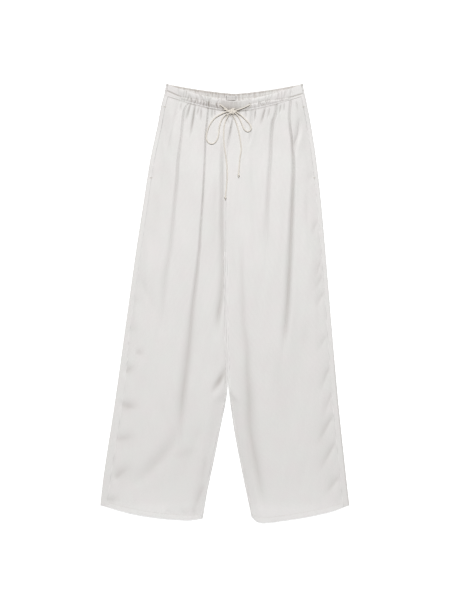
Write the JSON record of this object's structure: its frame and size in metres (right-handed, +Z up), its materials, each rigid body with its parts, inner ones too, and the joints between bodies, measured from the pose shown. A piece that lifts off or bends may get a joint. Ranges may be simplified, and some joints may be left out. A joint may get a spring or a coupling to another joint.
{
  "type": "trousers",
  "caption": "Straight wide-leg pull-on trousers laid flat: gathered elastic waistband, drawstring bow, side pockets and turned hems.",
  "frame": {"origin": "on the surface that the trousers lie on, under the middle of the whole garment", "axes": "+Y from the hems to the waist, +X to the wearer's left leg, +Z up out of the surface, through the front"},
  "size_m": [0.5986, 1.0535, 0.0148],
  "materials": {
    "satin": "pale silvery ivory satin with a soft sheen and fine tone-on-tone stripes along the leg",
    "drawstring": "soft cream round cord",
    "thread": "worked thread",
    "label": "blank woven label"
  },
  "bodies": {
    "root": {"front_panel_right": "satin", "front_panel_left": "satin", "back_panel_right": "satin", "back_panel_left": "satin", "pocket_bag_right": "satin", "pocket_bag_left": "satin", "waistband_front": "satin", "waistband_back": "satin", "waist_label": "label", "buttonhole_right": "thread", "buttonhole_left": "thread", "drawstring_right_lead": "drawstring", "drawstring_left_lead": "drawstring", "drawstring_right_loop": "drawstring", "drawstring_left_loop": "drawstring", "drawstring_right_tail": "drawstring", "drawstring_left_tail": "drawstring", "bow_knot": "drawstring", "end_knot_right": "drawstring", "end_knot_left": "drawstring"}
  },
  "joints": []
}
